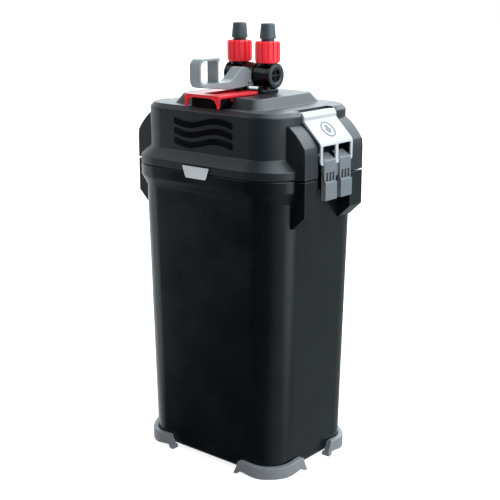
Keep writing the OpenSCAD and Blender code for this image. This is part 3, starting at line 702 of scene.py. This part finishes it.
def make_wave_trim():
    """Three raised wave bars on the front of the head."""
    low, high = box_mm("wave_trim")
    half_h = 3.2
    swing = 3.4
    degrees_per_mm = 4.5
    pitch = (high.z - low.z) / 2 - half_h - swing
    xs = np.linspace(-high.x, high.x, 49)
    for k in (-1, 0, 1):
        centre = (low.z + high.z) / 2 + pitch * k + swing * np.sin(np.radians(xs * degrees_per_mm))
        outline = list(zip(xs, centre - half_h)) + list(zip(xs[::-1], (centre + half_h)[::-1]))
        bar = prism(f"wave_bar_{k + 2}", softened(outline, 0.6, 2, closed=True), "Y",
                    low.y, -HEAD_Y + 0.4, soft=0.3)
        settle(bar, "head", "trim_gloss", ["wave_trim"] if k == 0 else ())


def make_gland():
    """Cord gland at the back: flange, ribbed grip and flow hole."""
    end = box_mm("cord_gland")[1].y
    profile = softened([
        (3.6, 60), (8, 60), (8, HEAD_Y), (11, HEAD_Y), (11, HEAD_Y + 2.5), (7, HEAD_Y + 3.2),
        (6.2, end), (3.6, end)], 0.6, 3, closed=True)

    def ribs(angle, r, h):
        return r - 0.5 * (math.cos(12 * angle) > 0.2) if h > HEAD_Y + 4 and r > 5 else r

    piece = revolve("cord_gland_body", profile, "Y", GLAND_SPOT, 96, ribs)
    settle(piece, "head", "gland_rubber", ["cord_gland"])


# ------------------------------------------------------------------ latches

LATCH_X = box_mm("latch_right")[1].x          # outer face of the plate
PLATE_BOTTOM_Z = box_mm("latch_right")[0].z
PLATE = 1.9
BEND_X, BEND_Z = LATCH_X - 8, 360             # middle of the bend between slope and plate
TAB_X = box_mm("latch_tabs_right")[1].x
TAB_Z = box_mm("latch_tabs_right")[0].z
TAB_MIDDLE_Y = 13.4


def make_latch_plate(side):
    knuckle = arc(HINGE_X, HINGE_Z, 5, 215, 140, 8)
    ridge = [(89.5, 392.9), (95.6, 392.9), (98.6, 388.4), (98.3, 384.9), (105, 378)]
    outline = knuckle + softened(ridge, 0.6)[1:]
    outline += arc(BEND_X, BEND_Z, 8, 45, 0, 8) + [
        (LATCH_X, PLATE_BOTTOM_Z), (LATCH_X - PLATE, PLATE_BOTTOM_Z)]
    outline += arc(BEND_X, BEND_Z, 8 - PLATE, 0, 45, 6) + [(96.4, 382.3), (94.8, 384.6)]
    plate = prism("latch_plate_" + hand(side), mirrored(outline, side), "Y", -LATCH_Y, LATCH_Y, soft=0.7)
    x0, x1 = sorted((side * 80, side * 130))
    corners = rounded(LATCH_Y + 0.01, 60, 4.5, 0, PLATE_BOTTOM_Z + 60 - 0.01)
    combine(plate, prism("keep", corners, "X", x0, x1, soft=0.01), "INTERSECT")
    x0, x1 = sorted((side * 110, side * 130))
    for flank in (1, -1):
        window = rounded(11.1, 7.6, 1, flank * TAB_MIDDLE_Y, 353.2, 4)
        cut(plate, prism("window", window, "X", x0, x1, soft=0.01))
    cut(plate, plain_bar("Y", 1.66, -LATCH_Y - 5, LATCH_Y + 5, (side * HINGE_X, HINGE_Z), 24))
    rounded_edges(plate, 0.35, 60)
    settle(plate, hand(side) + "_latch", "latch_silver", ["latch_" + hand(side)])


def on_slope(side, along, across, height):
    """Point on the latch's slope: along it from the emblem's middle, across it, and proud of it."""
    down = Vector((math.cos(math.radians(-44)), 0, math.sin(math.radians(-44))))
    out = Vector((-down.z, 0, down.x))
    spot = Vector((108.1, across, 375.1)) + down * along + out * height
    return side * spot.x, spot.y, spot.z


def make_emblem(side):
    """Plain ring with an arrow that points to the pull tabs."""
    body = hand(side) + "_latch"
    rings = []
    for angle in np.linspace(0, 2 * math.pi, 64, endpoint=False):
        section = [(8.2, -0.6), (8.3, 0.25), (8.6, 0.4), (9.5, 0.4), (9.8, 0.25), (9.9, -0.6)]
        rings.append([on_slope(side, r * math.cos(angle), r * math.sin(angle), h) for r, h in section])
    settle(skin("latch_ring_" + hand(side), rings, closed=True), body, "tab_grey")
    shape = [(5.6, 0), (-0.4, 5), (-0.4, 2), (-5.4, 2), (-5.4, -2), (-0.4, -2), (-0.4, -5)]
    outline = softened(shape, 0.5, 2, closed=True)
    layers = [(outline, -0.6), (outline, 0.2), (inset(outline, 0.2), 0.4)]
    rings = [[on_slope(side, u, v, h) for u, v in points] for points, h in layers]
    settle(skin("latch_arrow_" + hand(side), rings), body, "tab_grey")


def make_latch_tabs(side):
    """Two finger tabs with three slots each, and the bridge and tooth behind them."""
    name = "latch_tabs_" + hand(side)
    body = hand(side) + "_latch"
    face = LATCH_X - 3                        # back of the tabs
    outline = softened([
        (face, TAB_Z), (TAB_X, TAB_Z), (TAB_X, 323.5), (121.5, 323.9), (121.3, 345.7),
        (120.4, 346.5), (110.5, 352.5), (110.5, 350), (face, 345)], 0.4, 3, closed=True)
    for flank in (1, -1):
        ends = sorted((flank * 3.5, flank * 23.3))
        tab = prism(f"{name}_{end_name(flank)}", mirrored(outline, side), "Y", *ends, soft=0.6)
        for k in (-1, 0, 1):
            slit = rounded(1.9, 4.7, 0.6, flank * TAB_MIDDLE_Y + k * 5.4, 329.2, 4)
            cut(tab, prism("slit", slit, "X", *sorted((side * 117.8, side * 126)), soft=0.01))
        settle(tab, body, "tab_grey", [name], sharp=45)
    x0, x1 = sorted((side * (face + 0.05), side * (LATCH_X - 0.4)))
    bridge = prism(name + "_bridge", rounded(23.2, 6.7, 1, 0, 334.7, 4), "X", x0, x1 - 0.3, soft=0.4)
    settle(bridge, body, "tab_grey")
    tooth = [(face + 0.05, 306), (face + 0.05, 322), (114, 319), (108, 309), (108, 307)]
    tooth = prism(name + "_tooth", mirrored(tooth, side), "Y", -20, 20, soft=0.5)
    settle(tooth, body, "tab_grey")


# ------------------------------------------------------------------ priming handle

def make_primer_handle():
    """Thin top plate with a trough, two fangs that hang at its front, and the core on the rod."""
    low, high = box_mm("primer_handle")
    plate_z = 405.3
    corners = [(low.x, low.y), (high.x, low.y), (high.x, high.y), (low.x, high.y)]
    outline = softened(corners, 3.4, 5, closed=True)
    plate = prism("priming_handle", outline, "Z", plate_z - 0.1, high.z, soft=0.8)
    trough = rounded(8.6, 26.6, 2.5, 0, -35.4, 6)
    cut(plate, prism("trough", trough, "Z", 400, 412, soft=0.01))
    rounded_edges(plate, 0.35, 60)
    settle(plate, "primer", "handle_red", ["primer_handle"], sharp=45)
    core = prism("priming_core", rounded(20, 18.5, 3, 0, -30.5, 6), "Z",
                 low.z + 4.85, plate_z - 0.3, soft=0.6)
    cut(core, plain_bar("Z", 2.6, 396, 404.4, (0, ROD_Y), 24))
    settle(core, "primer", "handle_red")
    for side in (1, -1):
        fang = softened([
            (high.x - 0.2, 406), (high.x - 0.2, 405.2), (22.6, low.z), (21.6, low.z), (20.2, 400),
            (17.4, 403.3), (12.5, 405.2), (12.5, 406)], 0.5, 3, closed=True)
        piece = prism("priming_fang_" + hand(side), mirrored(fang, side), "Y",
                      low.y + 0.2, low.y + 3.4, soft=0.4)
        settle(piece, "primer", "handle_red")


# ------------------------------------------------------------------ valve unit

BODY_LOW, BODY_HIGH = box_mm("valve_body")
BASE_LOW_Z = 405.2
BASE_TOP_Z = 409
VALVE_Z = 423.5
NECK_R = 10
NUT_LOW, NUT_HIGH = box_mm("lock_nut_outlet")
SPIGOT_TOP_Z = BODY_HIGH.z
FLOW_R = 4.8


def make_valve_body():
    base = prism("valve_base", rounded(26, 16.2, 8, 0, VALVE_Y, 10), "Z", BASE_LOW_Z, BASE_TOP_Z, soft=1)
    for side in (1, -1):
        cut(base, plain_bar("Z", FLOW_R, 400, 412, (side * PORT_X, VALVE_Y), 32))
    settle(base, "valve_unit", "valve_gloss", ["valve_body"])
    for side in (1, -1):
        make_barrel(side)
        make_spigot(side)
        make_neck(side)


def make_barrel(side):
    """Tube round a drum valve, with a raised rim at its outer end."""
    profile = softened([
        (10.1, 8), (11.2, 8), (12, 8.8), (12, 27.4), (13.3, 28.4), (13.3, BODY_HIGH.x),
        (11.85, BODY_HIGH.x), (11.85, 29), (10.1, 29)], 0.5, 3, closed=True)
    profile = [(r, side * h) for r, h in profile]
    tube = revolve("valve_barrel_" + hand(side), profile, "X", (VALVE_Y, VALVE_Z), 72)
    settle(tube, "valve_unit", "valve_gloss")


def make_spigot(side):
    """Grooved stub that plugs into the head, hidden until the unit is lifted."""
    profile = softened([
        (FLOW_R, BODY_LOW.z), (7.4, BODY_LOW.z), (8.1, BODY_LOW.z + 1), (8.1, 390), (6.9, 390),
        (6.9, 392.4), (8.1, 392.4), (8.1, 396), (6.9, 396), (6.9, 398.4), (8.1, 398.4),
        (8.1, BASE_LOW_Z + 0.5), (FLOW_R, BASE_LOW_Z + 0.5)], 0.2, 2, closed=True)
    stub = revolve("spigot_" + hand(side), profile, "Z", (side * PORT_X, VALVE_Y), 48)
    settle(stub, "valve_unit", "valve_gloss")


def make_neck(side):
    """Round neck below the barrel, and above it the threaded neck that the lock nut sits on."""
    centre = (side * PORT_X, VALVE_Y)
    low = softened([(FLOW_R, BASE_TOP_Z - 1), (NECK_R + 1.4, BASE_TOP_Z - 1), (NECK_R, BASE_TOP_Z + 1.6),
                    (NECK_R, 413.2), (FLOW_R, 413.2)], 0.8, 4, closed=True)
    settle(revolve("neck_lower_" + hand(side), low, "Z", centre, 56), "valve_unit", "valve_gloss")
    thread = [(NECK_R, 433.9), (NECK_R, NUT_LOW.z - 0.3), (8.1, NUT_LOW.z - 0.3)]
    for k in range(5):
        z = NUT_LOW.z + 0.6 + 2.8 * k
        thread += [(8.1, z), (8.65, z + 0.9), (8.65, z + 1.3), (8.1, z + 2.2)]
    thread += [(8.1, SPIGOT_TOP_Z), (FLOW_R, SPIGOT_TOP_Z), (FLOW_R, 433.9)]
    piece = revolve("neck_upper_" + hand(side), softened(thread, 0.25, 2, closed=True), "Z", centre, 56)
    settle(piece, "valve_unit", "valve_gloss")


def make_end_cap(side):
    """Ring cap screwed into a barrel's rim."""
    node = "end_cap_" + port(side)
    outer = abs(box_mm(node)[1].x if side > 0 else box_mm(node)[0].x)
    profile = softened([
        (7.4, 29), (11.8, 29), (11.8, outer - 0.4), (11, outer), (8.6, outer), (7.4, outer - 1.1)],
        0.35, 3, closed=True)
    ring = revolve(node + "_ring", [(r, side * h) for r, h in profile], "X", (VALVE_Y, VALVE_Z), 72)
    settle(ring, "valve_unit", "cap_grey", [node])


def lever_shape():
    """Arm and finger loop seen from the side, in Y and Z."""
    front, rear, top, bottom, bend = -83.3, -53.9, 445.2, 415.4, 8
    shape = softened([(6.6, 413), (-23, 411.6), (-37.7, 411.1), (-50, 412.6)], 5, 5)
    shape += softened([(-57.9, 413.6), (-62, 414.3), (front + bend, bottom)], 2, 3)
    shape += arc(front + bend, bottom + bend, bend, 262, 180, 8)
    shape += arc(front + bend, top - bend, bend, 180, 90, 8)
    shape += softened([
        (front + bend + 1, top), (-52, top), (-52, top - 3.8), (rear, top - 3.8), (rear, 419.4),
        (-38.5, 419.1), (-33, 421), (-26.4, 426), (-18.2, 432.4), (-14, 433.4), (-7, 431.8),
        (-3.5, 429.2), (6.6, 424)], 1.6, 3)
    return shape


def make_lever():
    """Grey arm with its open loop, on a black hub between the barrels."""
    half = box_mm("lever")[1].x
    rear, top, bottom = -56.2, 442.8, 419.6
    arm = prism("flow_lever", lever_shape(), "X", -half, half, soft=0.8)
    hole = arc(-75.3, 425.2, 5.6, 270, 180, 7) + arc(-75.3, 437.2, 5.6, 180, 90, 7)
    hole += softened([(-74, top), (rear, top), (rear, bottom), (-74, bottom)], 1.2, 3)
    cut(arm, prism("loop", hole, "X", -half - 2, half + 2, soft=0.01))
    rounded_edges(arm, 0.4, 62)
    settle(arm, "valve_lever", "lever_grey", ["lever"], sharp=45)
    nub = [(0.0, half - 0.5), (1.7, half - 0.5), (1.6, half + 1.1), (1.1, half + 1.5), (0.0, half + 1.5)]
    settle(revolve("lever_nub", nub, "X", (-5.8, 417.4), 24), "valve_lever", "lever_grey")
    end = half + 0.3
    hub = softened([(4.4, -end), (13, -end), (13, end), (4.4, end)], 0.8, 3, closed=True)
    settle(revolve("lever_hub", hub, "X", (VALVE_Y, VALVE_Z), 72), "valve_lever", "valve_gloss")


def make_drum(side):
    """Drum valve: bored across, with a cross-shaped key in its dished outer end."""
    node = "drum_" + port(side)
    profile = softened([
        (0.0, 9.8), (10, 9.8), (10, 28.8), (7.2, 28.8), (7.2, 30.9), (6.5, 30.9), (6.3, 28.2),
        (0.0, 28.2)], 0.25, 2)
    drum = revolve(node + "_drum", [(r, side * h) for r, h in profile], "X", (VALVE_Y, VALVE_Z), 64)
    cut(drum, plain_bar("Z", 3.8, VALVE_Z - 12, VALVE_Z + 12, (side * PORT_X, VALVE_Y), 32))
    settle(drum, "valve_lever", "drum_black", [node])
    x0, x1 = sorted((side * 28, side * 30.3))
    for name, reach_y, reach_z in (("upright", 1.1, 6.4), ("level", 6.4, 1.1)):
        bar = rounded(reach_y, reach_z, 0.6, VALVE_Y, VALVE_Z, 4)
        settle(prism(f"{node}_key_{name}", bar, "X", x0, x1, soft=0.4), "valve_lever", "drum_black")


def make_lock_nut(side):
    """Fluted ring over the hose, with chamfered ends and a lip at the top."""
    node = "lock_nut_" + port(side)
    low, high = NUT_LOW.z, NUT_HIGH.z
    flutes = 14

    def fluted(angle, r, h):
        if r < 12:
            return r
        groove = max(0, math.cos(flutes * angle) - 0.5) / 0.5
        reach = smooth((h - low - 1.2) / 0.8)
        return r - 1.5 * smooth(groove * 1.6) * reach

    outline = [(8.75, low), (12.6, low), (12.9, low + 0.9), (13.2, low + 1.5), (13.5, low + 2.4),
               (13.5, high - 2), (13.1, high - 0.9), (12.3, high - 0.1), (11.6, high), (8.2, high),
               (7.4, high - 0.7), (7.4, 455.3), (8.75, 455.3)]
    nut = revolve(node + "_ring", outline, "Z", (side * PORT_X, VALVE_Y), flutes * 12, fluted)
    settle(nut, port(side) + "_nut", "nut_red", [node], sharp=32)


def make_hose_connector(side):
    """Tapered stub with a barb at the foot of its cone."""
    node = "hose_connector_" + port(side)
    top = box_mm(node)[1].z
    bore = 5.5
    profile = softened([
        (bore, SPIGOT_TOP_Z), (8.4, SPIGOT_TOP_Z), (8.4, 455), (7, 455), (7, 461.9), (8.5, 461.9),
        (8.8, 462.6), (7.5, top - 0.9), (6.9, top), (bore + 0.4, top), (bore, top - 0.5)],
        0.3, 3, closed=True)
    stub = revolve(node + "_stub", profile, "Z", (side * PORT_X, VALVE_Y), 64)
    settle(stub, "valve_unit", "connector_grey", [node])


# ------------------------------------------------------------------ media

VOXEL = 3.5


def remeshed(piece):
    modifier = piece.modifiers.new("remesh", "REMESH")
    modifier.mode = "VOXEL"
    modifier.voxel_size = VOXEL * MM
    return baked(piece)


def roughened(piece, depth, cells):
    """Moves each point along its normal by smooth noise."""
    normals = [v.normal.copy() for v in piece.data.vertices]
    for vertex, normal in zip(piece.data.vertices, normals):
        vertex.co += normal * (noise.noise(vertex.co * cells) - 0.5) * depth * MM
    return piece


def foam_slab(name, low, high, radius, axis):
    """Cut foam with soft corners and an uneven, porous skin, flat across an axis."""
    middle = (low + high) / 2
    half = (high - low) / 2
    u, v, w = (0, 1, 2) if axis == "Z" else (1, 2, 0)
    outline = rounded(half[u], half[v], radius, middle[u], middle[v], 6)
    piece = prism(name, outline, axis, low[w], high[w], soft=1.5)
    return roughened(remeshed(piece), 0.9, 130)


def make_foams():
    low, high = box_mm("foam_block")
    block = foam_slab("mechanical_foam", low, high, 22, "Z")
    settle(block, "canister", "foam_blue", ["foam_block"], sharp=180)
    low, high = box_mm("screen_foams")
    middle = (low.x + high.x) / 2
    half_frame = 2.1                          # half of the screen frame between the two foams
    for k, span in enumerate(((low.x, middle - half_frame), (middle + half_frame, high.x))):
        part = foam_slab(f"screen_foam_{k + 1}", Vector((span[0], low.y, low.z)),
                         Vector((span[1], high.y, high.z)), 3, "X")
        settle(part, "canister", "foam_dark", ["screen_foams"] if k == 0 else (), sharp=180)


def make_pouches():
    """Three crowned net bags of carbon, their sides pulled in between the corners."""
    low, high = box_mm("carbon_pouches")
    middle = (low + high) / 2
    half_x, half_y = (high.x - low.x) / 2, (high.y - low.y) / 2
    height = (high.z - low.z - 2) / 3
    for k in range(3):
        base = low.z + k * (height + 1)
        rings = []
        for t in np.linspace(-1, 1, 21):
            level = base + height * (0.5 + 0.5 * math.sin(t * math.pi / 2))
            spread = math.sqrt(max(0.0, 1 - abs(math.sin(t * math.pi / 2)) ** 4))
            inner = 12 * (1 - spread)
            outline = rounded(half_x - inner, half_y - inner, 20 - inner * 0.5, middle.x, middle.y, 8)
            rings.append(placed(outline, "Z", level))
        bag = roughened(remeshed(skin(f"carbon_bag_{k + 1}", rings)), 1.8, 55)
        settle(bag, "canister", "carbon_fabric", ["carbon_pouches"] if k == 0 else (), sharp=180)


# ------------------------------------------------------------------ CAD nodes that stay

NODE_SLOTS = {
    "basket_plastic": ["basket_lower", "basket_middle", "basket_upper", "basket_cover", "screen_frame"],
    "handle_red": ["basket_lift_handle"],
    "ceramic": ["ceramic_rings", "impeller_shaft"],
    "deck_plastic": ["motor_deck", "impeller_cover", "primer_piston", "primer_cylinder"],
    "seal_rubber": ["head_seal", "shaft_bush_upper", "shaft_bush_lower", "piston_seal", "port_seals"],
    "screw_steel": ["deck_screws", "latch_pin_right", "latch_pin_left", "primer_rod"],
    "case_resin": ["motor_case"],
    "core_steel": ["stator_core"],
    "coil_copper": ["motor_coil"],
    "magnet": ["magnet_rotor"],
    "impeller_plastic": ["impeller"],
    "cap_grey": ["gland_nut"],
}


def finish_cad_nodes():
    for slot, names in NODE_SLOTS.items():
        for name in names:
            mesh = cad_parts[name].data
            mesh.materials.clear()
            mesh.materials.append(finishes[slot])


# ------------------------------------------------------------------ studio

def make_floor():
    """Pale floor, large enough that its edge never shows."""
    reach = 9000
    corners = [(-reach, -reach, 0), (reach, -reach, 0), (reach, reach, 0), (-reach, reach, 0)]
    piece = new_piece("studio_floor", corners, [(0, 1, 2, 3)])
    material, tree, shader = blank("floor_white")
    tone = blended(tree, speckle(tree, 6), (0.33, 0.33, 0.33), (0.37, 0.37, 0.37))
    tree.links.new(tone, shader.inputs["Base Color"])
    shader.inputs["Roughness"].default_value = 0.9
    shader.inputs["Specular IOR Level"].default_value = 0.1
    shader.inputs["Emission Color"].default_value = (1, 1, 1, 1)
    shader.inputs["Emission Strength"].default_value = 0.85
    piece.data.materials.append(material)
    piece.visible_glossy = False
    piece.visible_shadow = False              # lets the lower half of the left panel shine up


def lobe(tree, direction, start, stop, low, high):
    """Light that grows from one side of the room to the other along a direction."""
    place = add(tree, "ShaderNodeTexCoord")
    along = add(tree, "ShaderNodeVectorMath", {
        0: place.outputs["Generated"], 1: direction}, operation="DOT_PRODUCT")
    node = add(tree, "ShaderNodeMapRange", {
        "Value": along.outputs["Value"], "From Min": start, "From Max": stop,
        "To Min": low, "To Max": high}, interpolation_type="SMOOTHSTEP")
    return node.outputs["Result"]


def maths(tree, operation, a, b):
    return add(tree, "ShaderNodeMath", {0: a, 1: b}, operation=operation).outputs[0]


def make_world():
    """White to look at; as a light it is bright behind, above and at both sides, and dark in front."""
    world = bpy.data.worlds.new("studio")
    world.use_nodes = True
    tree = world.node_tree
    back = tree.nodes["Background"]
    behind = lobe(tree, (0.64, 0.77, 0.0), -0.4, 0.35, 0.0, 1.0)
    sky = lobe(tree, (0.0, 0.0, 1.0), -0.12, 0.7, 0.4, 5.0)
    left = lobe(tree, (-0.95, 0.3, 0.0), 0.5, 0.98, 0.0, 1.2)
    right = lobe(tree, (0.974, 0.225, 0.0), 0.88, 0.96, 0.0, 1.6)
    glow = maths(tree, "ADD", maths(tree, "MULTIPLY", behind, sky), maths(tree, "ADD", left, right))
    path = add(tree, "ShaderNodeLightPath")
    shown = add(tree, "ShaderNodeMix", {"Factor": path.outputs["Is Camera Ray"], "A": glow, "B": 1.0})
    tree.links.new(shown.outputs["Result"], back.inputs["Strength"])
    tint = blended(tree, path.outputs["Is Camera Ray"], (0.86, 0.95, 1.0), (1, 1, 1))
    tree.links.new(tint, back.inputs["Color"])
    bpy.context.scene.world = world


def area_light(name, size, power, spot, aim):
    light = bpy.data.lights.new(name, "AREA")
    light.shape = "RECTANGLE"
    light.size, light.size_y = size
    light.energy = power
    light.color = (0.92, 0.97, 1.0)
    lamp = bpy.data.objects.new(name, light)
    lamp.location = spot
    lamp.rotation_euler = (Vector(aim) - Vector(spot)).to_track_quat("-Z", "Y").to_euler()
    lamp.visible_camera = False
    bpy.context.scene.collection.objects.link(lamp)


def make_lights():
    area_light("key", (0.9, 0.9), 4, (-0.95, -0.80, 1.25), (0, 0, 0.38))
    area_light("left_panel", (0.3, 0.6), 0.5, (-0.69, -0.445, 0.08), (0, 0, 0.08))


def make_camera():
    """Three-quarter view from the front right, a little above."""
    azimuth = math.radians(39.81)
    elevation = math.radians(14.81)
    distance = 1.1942
    target = Vector((0.0034, 0.0005, 0.2290))
    away = Vector((math.sin(azimuth) * math.cos(elevation), -math.cos(azimuth) * math.cos(elevation),
                   math.sin(elevation)))
    data = bpy.data.cameras.new("camera")
    data.lens = 76.72
    data.sensor_width = 36
    camera = bpy.data.objects.new("camera", data)
    camera.location = target + away * distance
    camera.rotation_euler = (-away).to_track_quat("-Z", "Y").to_euler()
    bpy.context.scene.collection.objects.link(camera)
    bpy.context.scene.camera = camera


make_canister()
for side in (1, -1):
    for flank in (1, -1):
        make_foot(side, flank)
    make_latch_plate(side)
    make_emblem(side)
    make_latch_tabs(side)
    make_end_cap(side)
    make_drum(side)
    make_lock_nut(side)
    make_hose_connector(side)
make_head()
make_handle_well_shade()
make_badge()
make_wave_trim()
make_gland()
make_primer_handle()
make_valve_body()
make_lever()
make_foams()
make_pouches()
finish_cad_nodes()
make_floor()
make_world()
make_lights()
make_camera()
bpy.context.scene.view_settings.view_transform = "Standard"
